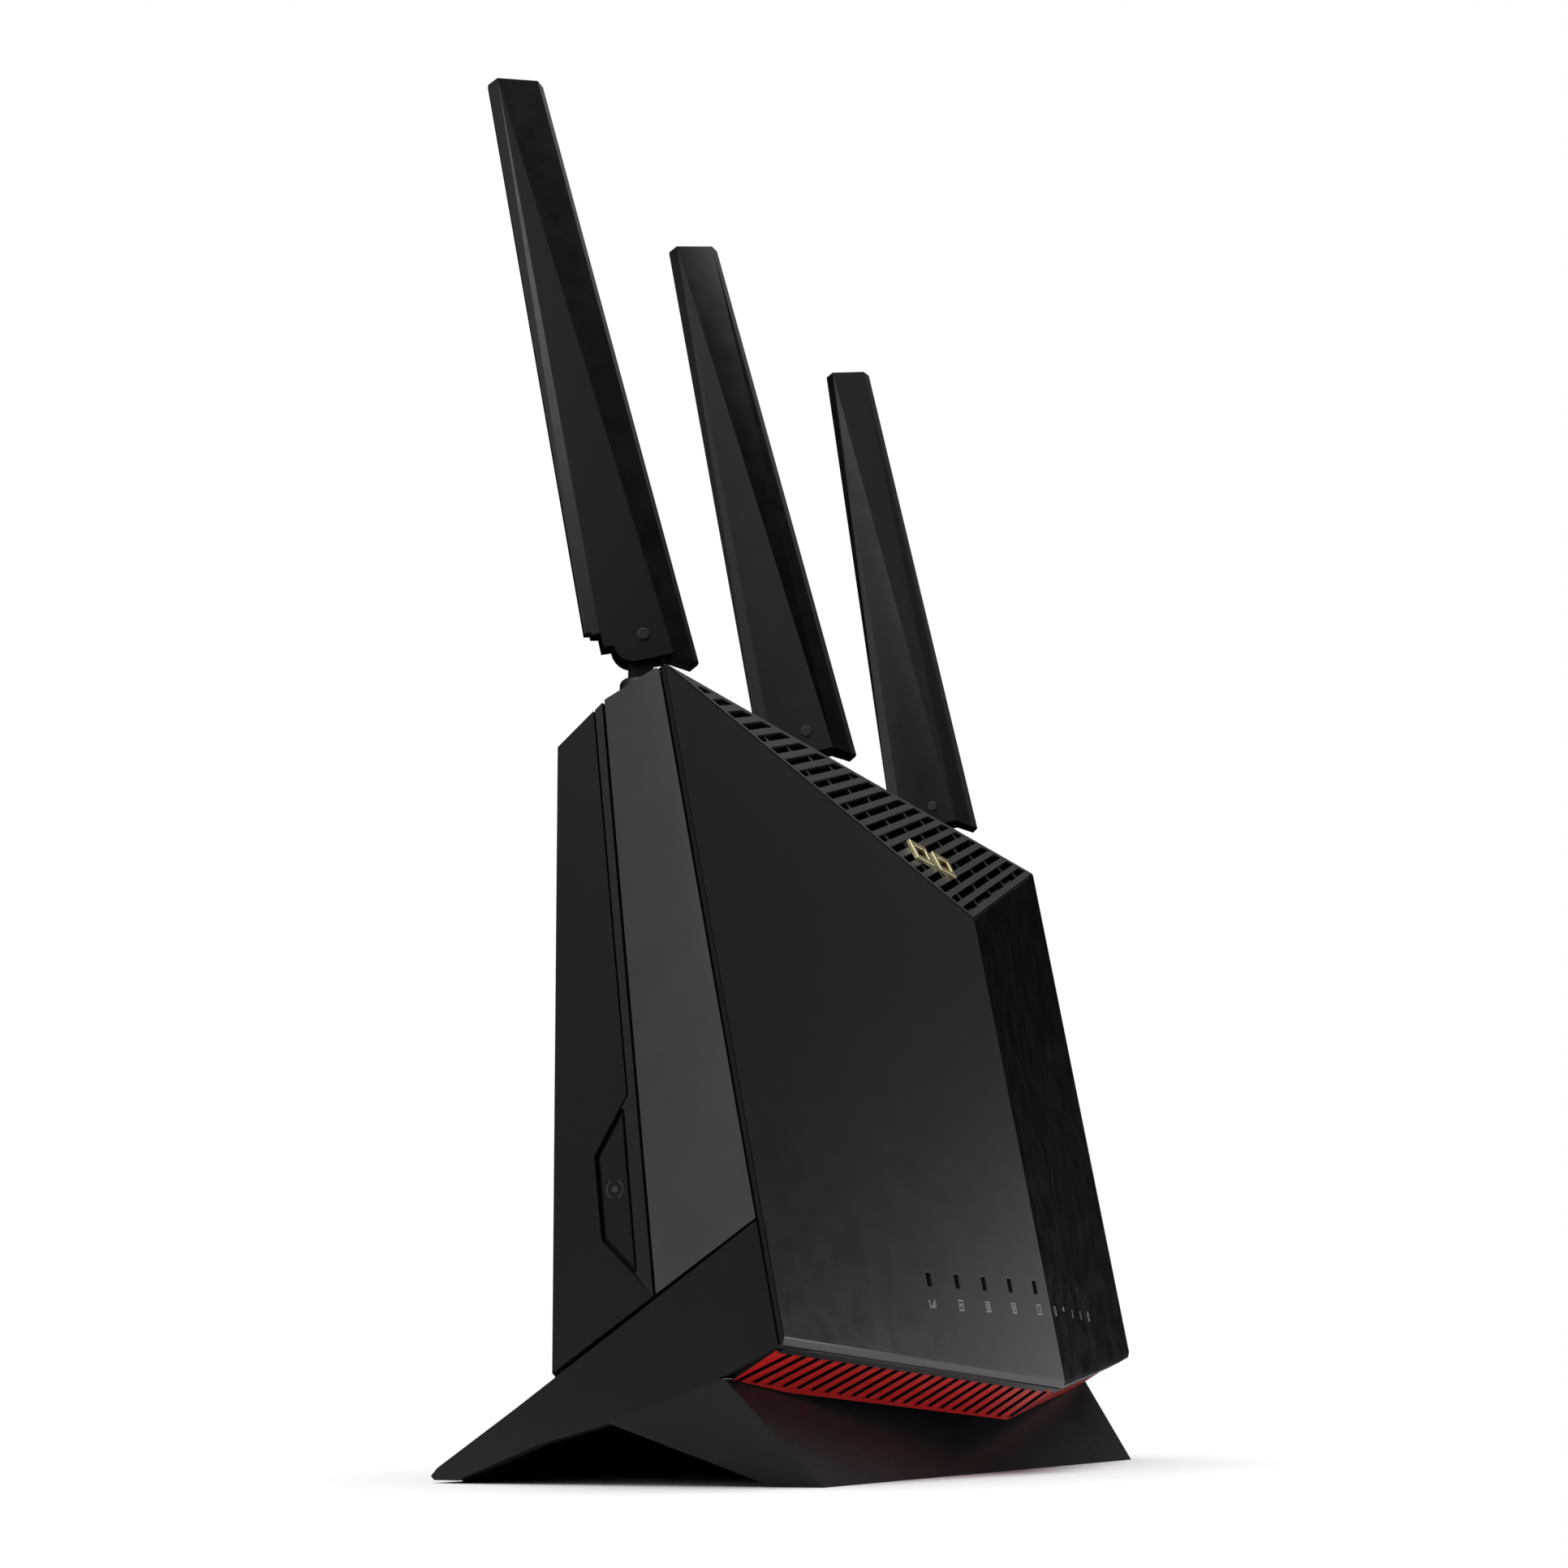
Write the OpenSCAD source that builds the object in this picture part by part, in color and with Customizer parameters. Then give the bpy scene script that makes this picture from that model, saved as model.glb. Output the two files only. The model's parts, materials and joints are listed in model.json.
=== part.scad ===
// Wireless router: faceted V-front housing on a winged stand, three swivelling blade antennas.
// Millimetres. X to the right seen from the front, Y to the back, Z up, origin under the centre.

/* [Body] */
// Width of the housing at its top edge
top_w = 242; // [238:0.5:246]
// Width of the housing at its bottom edge
bottom_w = 234.2; // [231:0.5:237]
// Height of the two upper side corners
top_z = 169.2; // [167:0.2:171]
// Wall thickness of the covers
wall = 2.4; // [2:0.1:2.6]
// Thickness of the faceted front panel
panel_t = 1.2; // [1.2:0.1:2]
// Visible gap between neighbouring covers
seam = 0.35; // [0.2:0.05:0.5]

/* [Grilles] */
// Number of slots across the top grille
top_slots = 22; // [16:1:24]
// Share of the pitch that is open in the top grille
top_open = 0.54; // [0.4:0.02:0.6]
// Number of slots in each half of the red grille
chin_slots = 22; // [12:1:24]
// Width of one slot in the red grille
chin_slot_w = 2.1; // [1.2:0.1:2.6]
// Depth of the black lip in front of the red grille
chin_lip = 3.4; // [3:0.1:4]

/* [Antennas] */
// Distance between neighbouring antennas
antenna_pitch = 92.5; // [90:0.5:95]
// Length of a blade from its hinge to its tip
blade_len = 142; // [120:1:150]
// Width of a blade at its tip
blade_tip_w = 13.2; // [11:0.2:15]
// Turn of each blade about the vertical, left to right
antenna_turn = [56.4, 64, 73]; // [0:1:90]
// Lean of each blade from upright, left to right
antenna_lean = [13.1, 12.5, 9.9]; // [0:0.5:20]

/* [Ports] */
// Height of the row of sockets on the back
port_z = 38; // [36:1:42]
// Distance between neighbouring network sockets
port_pitch = 18; // [17.5:0.5:19]

/* [Indicators] */
// Number of indicator windows in each half
led_count = 5; // [3:1:5]
// Distance between neighbouring windows
led_pitch = 12.4; // [10:0.2:13]
// Height of the windows
led_z = 42.1; // [38:0.5:48]

/* [Hidden] */
$fn = 48;

// Outline of the housing in the side view, as [y, z]
top_edge = [-4.5, top_z];
shoulder = [9.7, 162.8];
back_top = [21.4, 153.4];
back_low = [21.4, 21];
chin_side = [-30.9, 27.7];
chin_back = [-17.3, 20.2];
// Outline of the central ridge, as [y, z]
ridge_top = [-29.4, 132.7];
ridge_low = [-50, 19.6];
chin_mid = [-35.2, 10.8];
bevel_w = 1.1;
// The raised middle of the back, as [y, z], and its half width
bump_top = [26, 149.7];
bump_low = [26, 22.4];
bump_x = 103;

side_lean = (top_w - bottom_w) / 2 / (top_z - chin_side.y);
function side_x(z) = bottom_w / 2 + (z - chin_side.y) * side_lean;
function unit(v) = v / norm(v);

// Seam between the covers: y at height z
seam_slope = 12.5 / 125.7;
function seam_y(z) = -2.5 + (z - 37) * seam_slope;

// Rear outline of the side trim, with the bulge that holds the button
trim_back = [[16.6, 199], [12.7, 160.5], [4.4, 77.9], [11.9, 65.6], [10.1, 48.3], [2.2, 41.1]];
button_outline = [[5.3, 74.4], [10.9, 65.4], [9.3, 48.9], [2.2, 42.4]];
button_bay = [[1.9, 41.9], [5, 74.9], [16, 79], [16, 38]];
trim_t = 1.4;

// Wing of the stand in the side view
wing_top = [-26.8, 52.8];
wing_tip = [48.6, 2.6];
wing_t = 2.4;
leg_foot = [[-33.9, 0], [-23.7, 0]];
leg_foot_x = [104.9, 106.4];
arch = [8.3, 12.2];
arch_back = [24.7, 7.8];
rear_foot_y = 44;
foot_end = 50;
pad_t = 0.9;

// Hinge and swivel of an antenna
hinge_y = 16.3;
hinge_z = 184.9;
collar_r = 4.75;
collar_top = 9.6;
stem_r = 3.6;
pivot_gap = 0.05;
pin_r = 1.4;
boss_top = 162;
boss_low = 148.5;
tongue_t = 4.2;
tongue_w = 5.4;
slot_t = 4.7;

// Back wall and board planes
back_y = 26;
board_y = 5;
board_t = 1.6;
screw_r = 1.45;
case_screw_at = [[-96, 58], [96, 58], [-70, 134], [70, 134]];
board_screw_at = [[-92, 118], [92, 118], [-84, 30], [84, 30]];
stand_screw_at = [[-90, 11], [90, 11], [-40, 11], [40, 11]];
power_at = [91, port_z];
dc_at = [76, port_z];
dc_deep = 10;
plate_x = 98.4;
plate_low = 28.6;
plate_top = 50.6;
usb_x = [60, 42];
jack_x0 = 20;
jack_count = 6;
reset_at = [-90, port_z];
side_button_at = [7, 58];
capacitor_at = [[84, 62], [72, 62], [60, 64], [-80, 62]];
jack_w = 17.6;
jack_h = 12.4;
plug_w = 11.8;
plug_h = 8.2;
usb_w = 13.4;
usb_h = 6.4;
button_travel = 1;

// ---------- helpers ----------

module hull_of(points) {
    hull()
        polyhedron(points, [[for (i = [0:len(points) - 1]) i]]);
}

// Stands a side-view outline [y, z] up and extrudes it across the width
module across(w) {
    rotate([90, 0, 90])
        translate([0, 0, -w / 2])
            linear_extrude(w)
                children();
}

// Points a cylinder or an extrusion along +Y
module along_y(x, y, z) {
    translate([x, y, z])
        rotate([-90, 0, 0])
            children();
}

// Puts a flat drawing on the plane through o, with its x along u and its height along n
module on_plane(o, u, n) {
    v = cross(n, u);
    multmatrix([[u.x, v.x, n.x, o.x], [u.y, v.y, n.y, o.y], [u.z, v.z, n.z, o.z], [0, 0, 0, 1]])
        children();
}

module mirrored_x() {
    children();
    mirror([1, 0, 0])
        children();
}

// Corners of the housing, moved inwards by t, and the front corners back by f as well
function both(x, y, z) = [[-x, y, z], [x, y, z]];
function body_points(t = 0, f = 0) = concat(
    both(top_w / 2 - t, top_edge.x + 0.4 * t + f, top_edge.y - 1.5 * t),
    both(side_x(shoulder.y) - t, shoulder.x - 0.2 * t, shoulder.y - 1.2 * t),
    both(side_x(back_top.y) - t, back_top.x - t, back_top.y - 0.8 * t),
    both(side_x(back_low.y) - t, back_low.x - t, back_low.y + t),
    both(side_x(chin_back.y) - t, chin_back.x + 0.2 * t, chin_back.y + 1.1 * t),
    both(side_x(chin_side.y) - t, chin_side.x + 1.1 * t + f, chin_side.y + 0.5 * t),
    both(bump_x - t / 2, bump_top.x - t, bump_top.y - 0.8 * t),
    both(bump_x - t / 2, bump_low.x - t, bump_low.y + t),
    [[0, ridge_top.x + 1.1 * t + f, ridge_top.y - 0.9 * t],
     [0, ridge_low.x + 1.3 * t + f, ridge_low.y + 0.6 * t],
     [0, chin_mid.x + 0.4 * t, chin_mid.y + 1.2 * t]]);

module body() {
    hull_of(body_points());
}

module cavity() {
    hull_of(body_points(wall, 2));
}

// Everything in front of the front facets moved back by d
module front_slabs(d) {
    a = [top_w / 2, top_edge.x, top_edge.y];
    b = [bottom_w / 2, chin_side.x, chin_side.y];
    up = [0, ridge_top.x - ridge_low.x, ridge_top.y - ridge_low.y] * 0.4;
    out = (b - [0, ridge_low.x, ridge_low.y]) * 0.2;
    top = [0, ridge_top.x, ridge_top.y] + up - out / 3;
    low = [0, ridge_low.x, ridge_low.y] - up - out / 3;
    mirrored_x()
        hull_of([for (s = [d, -12]) each [top + [0, s, 0], low + [0, s, 0],
            a + up + out + [0, s, 0], b - up + out + [0, s, 0]]]);
}

// The sloping triangle of the top grille: x across, y up the slope, from the ridge's top
slope_v = unit([0, top_edge.x - ridge_top.x, top_edge.y - ridge_top.y]);
slope_n = cross([1, 0, 0], slope_v);
slope_len = norm([top_edge.x - ridge_top.x, top_edge.y - ridge_top.y]);
slope_a = atan2(slope_len, top_w / 2);

module on_slope(h = 0) {
    on_plane([0, ridge_top.x, ridge_top.y] + slope_n * h, [1, 0, 0], slope_n)
        children();
}

module slope_triangle(inset) {
    reach = top_w / 2 - inset * (1 + cos(slope_a)) / sin(slope_a);
    polygon([[0, inset / cos(slope_a)], [reach, slope_len - inset], [-reach, slope_len - inset]]);
}

// Everything above the two lower edges of the triangle, and d below them
module above_ridge(d) {
    reach = 160;
    polygon([[0, -d], [reach, reach * tan(slope_a) - d], [-reach, reach * tan(slope_a) - d]]);
}

// Each half of the chin, seen on its own plane: x along the front edge from the ridge
chin_u = unit([bottom_w / 2, chin_side.x - ridge_low.x, chin_side.y - ridge_low.y]);
chin_w = [0, chin_mid.x - ridge_low.x, chin_mid.y - ridge_low.y];
chin_n = unit(cross(chin_w, chin_u));
chin_v = cross(chin_n, chin_u);
chin_len = norm([bottom_w / 2, chin_side.x - ridge_low.x, chin_side.y - ridge_low.y]);
chin_skew = (chin_w * chin_u) / (chin_w * chin_v);
chin_deep = -(chin_w * chin_v);

module on_chin(h = 0) {
    mirrored_x()
        on_plane([0, ridge_low.x, ridge_low.y] + chin_n * h, chin_u, chin_n)
            children();
}

module chin_outline(front, side, back, over = 0) {
    deep = chin_deep - back;
    polygon([[-over - chin_skew * front, -front], [chin_len - side, -front],
        [chin_len - side, -deep], [-over - chin_skew * deep, -deep]]);
}

// Space taken by the stand under the housing
module stand_space(g) {
    across(260)
        polygon([[chin_back.x - g - 0.2, 21 + g], [leg_foot[0].x - g - 1.4, -1.6], [70, -1.6], [70, 21 + g]]);
}

// Space taken by the wings on both sides of the housing
module wing_space(g) {
    difference() {
        across(260)
            polygon([wing_top + [-20, 13.4 + g], wing_tip + [10, g - 5], [60, -5], [-60, -5], [-60, 60]]);
        side_block(wing_t + g);
    }
}

// Everything between the side planes moved inwards by t
module side_block(t, reach = 0) {
    hull_of([for (z = [-20 - reach, 210 + reach]) each [for (y = [-80 - reach, 80 + reach])
        each both(side_x(z) - t, y, z)]]);
}

module side_layer(t0, t1) {
    difference() {
        side_block(t0);
        side_block(t1, 10);
    }
}

module trim_outline(front, back = 0) {
    polygon([for (z = [36.5, 199]) [seam_y(z) + front, z], for (p = trim_back) p - [back, 0], [-1.9, 36.5]]);
}

// ---------- housing ----------

module front_panel() {
    color("#26282a")
        difference() {
            intersection() {
                body();
                front_slabs(panel_t);
            }
            on_slope(-8)
                linear_extrude(12)
                    above_ridge(0.25);
            led_slots(0);
            lower_bevel();
        }
}

// The wide bevel along the panel's lower edge, where it meets the chin
module lower_bevel() {
    start = [0, ridge_low.x, ridge_low.y];
    rise = unit([0, ridge_top.x - ridge_low.x, ridge_top.y - ridge_low.y]);
    up = unit(rise - (rise * chin_u) * chin_u);
    slant = unit(0.6 * unit(chin_w) - bevel_w * up);
    normal = cross(chin_u, slant);
    facing = normal.y > 0 ? -normal : normal;
    mirrored_x()
        on_plane(start + up * bevel_w, chin_u, facing)
            translate([-20, -20, 0])
                cube([200, 40, 20]);
}

module led_slots(grow) {
    for (s = [-1, 1])
        for (i = [0:led_count - 1])
            translate([s * (6 + led_pitch * i), -40, led_z])
                cube([1.5 + grow, 40, 3 + grow], center = true);
}

module front_cover() {
    color("#3a3c3e")
        difference() {
            intersection() {
                body();
                union() {
                    difference() {
                        across(260)
                            polygon([[-80, -10], [seam_y(-10), -10], [seam_y(200), 200], [-80, 200]]);
                        cavity();
                    }
                    front_bosses();
                }
            }
            front_slabs(panel_t + seam);
            on_slope(-2.2)
                linear_extrude(6)
                    slope_triangle(-1);
            on_slope(-12)
                linear_extrude(14)
                    slope_triangle(2.6);
            on_chin(-2)
                linear_extrude(6)
                    chin_outline(chin_lip, -2, -4, 5);
            on_chin(-9)
                linear_extrude(10.4)
                    chin_outline(5, 6, -24, 8);
            across(50)
                polygon([[-28, 12], [-19, 12], [-19, 17.4], [-28, 17.4]]);
            stand_space(0.2);
            wing_space(0.2);
            led_slots(0.4);
            for (p = case_screw_at)
                along_y(p.x, -2, p.y)
                    cylinder(r = screw_r + 0.05, h = 20);
            for (p = board_screw_at)
                along_y(p.x, -6, p.y)
                    cylinder(r = screw_r + 0.05, h = 12);
        }
}

// Posts that take the case screws and the board
module front_bosses() {
    for (p = case_screw_at)
        along_y(p.x, -40, p.y)
            cylinder(r = 3.4, h = 54);
    for (p = board_screw_at)
        along_y(p.x, -45, p.y)
            cylinder(r = 3, h = 45 + board_y - board_t);
}

module rear_cover() {
    color("#1e2022")
        difference() {
            union() {
                intersection() {
                    body();
                    union() {
                        difference() {
                            across(260)
                                polygon([[90, -10], [seam_y(-10) + seam, -10],
                                    [seam_y(200) + seam, 200], [90, 200]]);
                            cavity();
                        }
                        rear_bosses();
                        stand_posts();
                    }
                }
                antenna_bosses(5);
            }
            stand_space(0.2);
            wing_space(0.2);
            trim_pocket();
            button_window();
            for (x = antenna_pitch * [-1, 0, 1])
                translate([x, hinge_y, 140])
                    cylinder(r = stem_r + pivot_gap, h = 40);
            for (p = case_screw_at) {
                along_y(p.x, 5, p.y)
                    cylinder(r = 1.7, h = 40);
                along_y(p.x, back_y - 3.4, p.y)
                    cylinder(r = 3.1, h = 10);
            }
            for (p = stand_screw_at)
                translate([p.x, p.y, 10])
                    cylinder(r = screw_r + 0.05, h = 20);
            plate_window(0.15);
            back_vents();
        }
}

module plate_window(g) {
    translate([-plate_x - g, 20, plate_low - g])
        cube([2 * (plate_x + g), 12, plate_top - plate_low + 2 * g]);
}

// The plate that frames the sockets, held from behind by its rim
module port_plate() {
    color("#202224")
        difference() {
            union() {
                translate([-plate_x, back_y - wall, plate_low])
                    cube([2 * plate_x, wall - 0.2, plate_top - plate_low]);
                translate([-plate_x - 1.6, back_y - wall - 1.3, plate_low - 1.6])
                    cube([2 * plate_x + 3.2, 1.2, plate_top - plate_low + 3.2]);
                translate([-plate_x, back_y - wall - 0.2, plate_low])
                    cube([2 * plate_x, 0.4, plate_top - plate_low]);
                port_frames();
            }
            port_windows();
        }
}

module antenna_bosses(r) {
    for (x = antenna_pitch * [-1, 0, 1])
        translate([x, hinge_y, boss_low])
            cylinder(r = r, h = boss_top - boss_low);
}

// Tubes that guide the case screws from the back
module rear_bosses() {
    for (p = case_screw_at)
        along_y(p.x, 14.3, p.y)
            cylinder(r = 4.6, h = back_y - 14.5);
}

// Posts over the stand's deck that its screws bite into
module stand_posts() {
    for (p = stand_screw_at)
        translate([p.x, p.y, 21.2])
            cylinder(r = 3.6, h = 8.3);
    for (s = [-1, 1])
        translate([s * 65 - 30, 5.4, 21.2])
            cube([60, 19, 2.4]);
}

// Collars around the two buttons on the back
module port_frames() {
    along_y(power_at.x, 20.9, power_at.y)
        cylinder(r = 6.2, h = 4);
    along_y(reset_at.x, 13.2, reset_at.y)
        cylinder(r = 3.6, h = 11);
}

module port_windows() {
    translate([jack_x0 - port_pitch * (jack_count - 1) - jack_w / 2 - 0.1, back_y - 6, port_z - jack_h / 2 - 0.1])
        cube([port_pitch * (jack_count - 1) + jack_w + 0.2, 12, jack_h + 0.2]);
    for (x = usb_x)
        translate([x, back_y, port_z])
            cube([usb_w + 0.6, 12, usb_h + 0.6], center = true);
    along_y(dc_at.x, 15, dc_at.y)
        cylinder(r = 5.2, h = 20);
    along_y(power_at.x, 15, power_at.y)
        cylinder(r = 4.55, h = 20);
    along_y(reset_at.x, 10, reset_at.y)
        cylinder(r = 1.4, h = 20);
}

// Rows of long vent slots in the upper back
module back_vents() {
    for (row = [0:9])
        for (col = [-2:2])
            translate([col * 34 - 14, 18, 66 + row * 6])
                cube([28, 12, 2.4]);
}

// The step in the rear cover's edge that the side trim lies in
module trim_pocket() {
    difference() {
        across(260)
            trim_outline(-1);
        side_block(trim_t + 0.1);
    }
}

module button_window() {
    translate([-130, 0, 0])
        across(40)
            offset(delta = 0.1)
                polygon(button_outline);
}

module side_trim(with_window) {
    color("#16181a")
        difference() {
            intersection() {
                side_layer(0, trim_t);
                across(260)
                    difference() {
                        trim_outline(0.6, 0.35);
                        if (with_window)
                            polygon(button_bay);
                    }
                body();
            }
            wing_space(0.3);
            translate([with_window ? 0 : -260, -100, -10])
                cube([260, 200, 260]);
        }
}

module side_trim_left() {
    side_trim(true);
}

module side_trim_right() {
    side_trim(false);
}

module top_grille() {
    pitch = top_w * sin(slope_a) / (top_slots + 1);
    open = pitch * top_open;
    color("#3c3e40")
        on_slope(-2)
            difference() {
                linear_extrude(2)
                    slope_triangle(0.25);
                translate([0, 0, -1])
                    linear_extrude(4)
                        intersection() {
                            slope_opening();
                            slot_rows(pitch, open, 2.2);
                        }
                translate([0, 0, 1.1])
                    linear_extrude(2)
                        intersection() {
                            slope_opening();
                            slot_rows(pitch, open, 0);
                        }
            }
}

module slope_opening() {
    intersection() {
        slope_triangle(1.6);
        translate([0, -1.5])
            slope_triangle(0);
    }
}

// Slots parallel to the right-hand edge, cut into bricks by staggered ribs
module slot_rows(pitch, open, rib) {
    brick = 27;
    rotate(slope_a)
        for (i = [0:top_slots])
            if (rib > 0)
                for (k = [-4:5])
                    translate([(k + (i % 2) / 2) * brick - 4, 2 + i * pitch])
                        square([brick - rib, open]);
            else
                translate([-4.5 * brick, 2 + i * pitch])
                    square([10 * brick, open]);
}

module top_badge() {
    color("#d8cf9a")
        on_slope(0.02)
            linear_extrude(1.1)
                badge_outline();
}

// Two slanted open frames side by side, as a neutral ornament
module badge_outline() {
    for (x = [-19, -3.4])
        difference() {
            polygon([[x, 14.4], [x + 3.6, 21.2], [x + 14.8, 21.2], [x + 11.2, 14.4]]);
            polygon([[x + 3, 16.1], [x + 4.8, 19.5], [x + 11.8, 19.5], [x + 10, 16.1]]);
        }
}

module bottom_grille() {
    pitch = (chin_len - 5.2) / chin_slots;
    color("#a01410")
        difference() {
            on_chin(-1.8)
                difference() {
                    linear_extrude(1)
                        chin_outline(chin_lip + 0.25, 1.2, 0.6);
                    translate([0, 0, -1])
                        linear_extrude(4)
                            for (i = [0:chin_slots - 1])
                                chin_slot(2.4 + i * pitch);
                }
            wing_space(0.3);
            stand_space(0.3);
        }
}

// One slot of the red grille, from the front edge to the back; the slots fan out from the ridge
module chin_slot(x) {
    y0 = chin_lip + 0.7;
    y1 = chin_deep - 1.25 - x / 110;
    fan = 0.0045;
    half = chin_slot_w / 2;
    x0 = x * (1 + fan * (y0 - 5));
    x1 = x * (1 + fan * (y1 - 5));
    polygon([[x0 - half, -y0], [x0 + half, -y0], [x1 + half, -y1], [x1 - half, -y1]]);
}

// ---------- stand ----------

module stand_shape() {
    top_y = 20.9;
    hull_of(concat(
        both(leg_foot_x[0], leg_foot[0].x, 0),
        both(leg_foot_x[1], leg_foot[1].x, 0),
        both(side_x(top_y), chin_back.x - 0.3, top_y),
        both(side_x(arch.y), arch.x, arch.y),
        both(side_x(top_y), back_low.x - 0.6, top_y),
        both(side_x(1), foot_end, 1.4),
        both(side_x(1), foot_end - 0.8, 0.6),
        both(side_x(1), wing_tip.x, wing_tip.y + 0.4),
        both(side_x(1), rear_foot_y, 0.6)));
}

module stand_hollow() {
    hull_of(concat(
        both(99, -30.4, 2.6),
        both(101, -25, 2.6),
        both(112, -16.6, 18.4),
        both(112, 19.6, 18.4),
        both(112, 42.6, 2.6)));
    across(2 * side_x(0) + 10)
        polygon([[leg_foot[1].x, -2], leg_foot[1], arch, arch_back, [rear_foot_y, 0.5], [rear_foot_y, -2]]);
}

module wings() {
    intersection() {
        side_layer(0, wing_t);
        across(260)
            polygon([wing_top, wing_tip, [foot_end, 1.4], [foot_end - 0.8, 0.6], [rear_foot_y, 0.6],
                arch_back, arch, [chin_back.x, 21.3], chin_side + [0, 0.4]]);
        union() {
            body();
            translate([-130, -60, -1])
                cube([260, 120, 22]);
            translate([-130, 0, 0])
                cube([260, 60, 40]);
        }
    }
}

module stand() {
    color("#1c1e20")
        difference() {
            union() {
                difference() {
                    stand_shape();
                    stand_hollow();
                }
                difference() {
                    wings();
                    front_slabs(panel_t + seam);
                }
            }
            across(2 * 104)
                polygon([[-33, -1], [-33, pad_t], [-25, pad_t], [-25, -1]]);
            across(2 * 108)
                polygon([[rear_foot_y + 1, -1], [rear_foot_y + 1, pad_t + 0.6], [foot_end - 1.4, pad_t + 0.6],
                    [foot_end - 1.4, -1]]);
            for (p = stand_screw_at)
                translate([p.x, p.y, 10])
                    cylinder(r = 1.7, h = 20);
        }
}

module front_foot_pads() {
    color("#101010")
        for (s = [-1, 1])
            translate([s * 60, -29, 0])
                translate([-38, -3.4, 0])
                    cube([76, 6.8, pad_t]);
}

module rear_foot_pad() {
    color("#101010")
        translate([-107, rear_foot_y + 1.3, 0])
            cube([214, foot_end - rear_foot_y - 3, pad_t + 0.6]);
}

// A pan-head screw with its head at the origin and its shaft along +Z
module screw(len, head_r = 2.8, head_t = 1.8) {
    difference() {
        cylinder(r = head_r, h = head_t);
        translate([0, 0, -0.1])
            for (a = [0, 90])
                rotate(a)
                    translate([-1.5, -0.35, 0])
                        cube([3, 0.7, 1]);
    }
    cylinder(r = screw_r, h = head_t + len);
}

module stand_screws() {
    color("#8a8c8e")
        for (p = stand_screw_at)
            translate([p.x, p.y, 16.5])
                screw(10);
}

module case_screws() {
    color("#8a8c8e")
        for (p = case_screw_at)
            translate([p.x, back_y - 1.5, p.y])
                rotate([90, 0, 0])
                    screw(14);
}

module board_screws() {
    color("#8a8c8e")
        for (p = board_screw_at)
            translate([p.x, board_y + 1.8, p.y])
                rotate([90, 0, 0])
                    screw(6);
}

// ---------- electronics ----------

module main_board() {
    color("#14502c")
        difference() {
            along_y(0, board_y - board_t, 0)
                linear_extrude(board_t)
                    polygon([[-107.2, -25], [107.2, -25], [107.2, -118], [96, -128], [-96, -128], [-107.2, -118]]);
            for (p = board_screw_at)
                along_y(p.x, 0, p.y)
                    cylinder(r = 1.7, h = 20);
            for (s = [-1, 1])
                along_y(s * 96, 0, 58)
                    cylinder(r = 4.8, h = 20);
        }
}

module shield_cans() {
    color("#b8babc")
        for (p = [[-36, 96], [4, 96], [44, 96]])
            translate([p.x - 16, board_y - board_t - 3.2, p.y - 16])
                cube([32, 3.2, 32]);
}

module thermal_pads() {
    color("#7a8fb0")
        for (p = [[-36, 96], [4, 96], [44, 96]])
            translate([p.x - 13, board_y - board_t - 4.2, p.y - 13])
                cube([26, 1, 26]);
}

module heat_sink() {
    back = board_y - board_t - 4.2;
    color("#a8aaac")
        union() {
            translate([-58, back - 2.5, 76])
                cube([124, 2.5, 42]);
            for (i = [0:15])
                translate([-58 + i * 8.2, back - 10, 76])
                    cube([1.4, 8, 42]);
        }
}

module capacitors() {
    color("#2c3a5a")
        for (p = capacitor_at)
            along_y(p.x, board_y, p.y)
                cylinder(r = 4, h = 10);
}

module led_board() {
    color("#14502c")
        translate([-60, -24.4, led_z - 6])
            cube([120, 1.2, 12]);
}

// Clear rods that carry the light from the board to the windows
module light_guide() {
    color("#c8d0d4")
        intersection() {
            union() {
                translate([-58, -27.4, led_z - 2])
                    cube([116, 3, 4]);
                for (s = [-1, 1])
                    for (i = [0:led_count - 1])
                        translate([s * (6 + led_pitch * i) - 0.6, -60, led_z - 1.35])
                            cube([1.2, 35, 2.7]);
            }
            translate([0, 0.9, 0])
                body();
        }
}

module network_jacks() {
    color("#b8babc")
        for (i = [0:jack_count - 1])
            translate([jack_x0 - port_pitch * i, board_y, port_z])
                jack_shell();
}

// A metal socket that opens to the back
module jack_shell() {
    deep = back_y - board_y - 0.6;
    difference() {
        translate([-jack_w / 2, 0, -jack_h / 2])
            cube([jack_w, deep, jack_h]);
        translate([-plug_w / 2, deep - 13, -plug_h / 2])
            cube([plug_w, 14, plug_h]);
    }
}

module usb_jacks() {
    color("#2858a8")
        for (x = usb_x)
            translate([x, board_y, port_z])
                usb_shell();
}

module usb_shell() {
    deep = back_y - board_y - 0.5;
    difference() {
        translate([-usb_w / 2, 0, -usb_h / 2])
            cube([usb_w, deep, usb_h]);
        translate([-usb_w / 2 + 0.5, deep - 14, -usb_h / 2 + 0.5])
            cube([usb_w - 1, 15, usb_h - 1]);
    }
    translate([-5.6, deep - 15, 0.4])
        cube([11.2, 12, 1.9]);
}

module dc_jack() {
    color("#141414")
        along_y(dc_at.x, board_y, dc_at.y)
            difference() {
                cylinder(r = 4.9, h = back_y - board_y - 0.8);
                translate([0, 0, back_y - board_y - 0.8 - dc_deep])
                    cylinder(r = 2.9, h = 20);
            }
}

module power_switch() {
    color("#202224")
        translate([power_at.x - 5, board_y, power_at.y - 5])
            cube([10, 6, 10]);
}

module reset_switch() {
    color("#202224")
        translate([reset_at.x - 3, board_y, reset_at.y - 3])
            cube([6, 4.2, 6]);
}

module side_switch() {
    color("#202224")
        translate([-107.5, board_y, 55])
            cube([5.5, 6, 6]);
}

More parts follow.
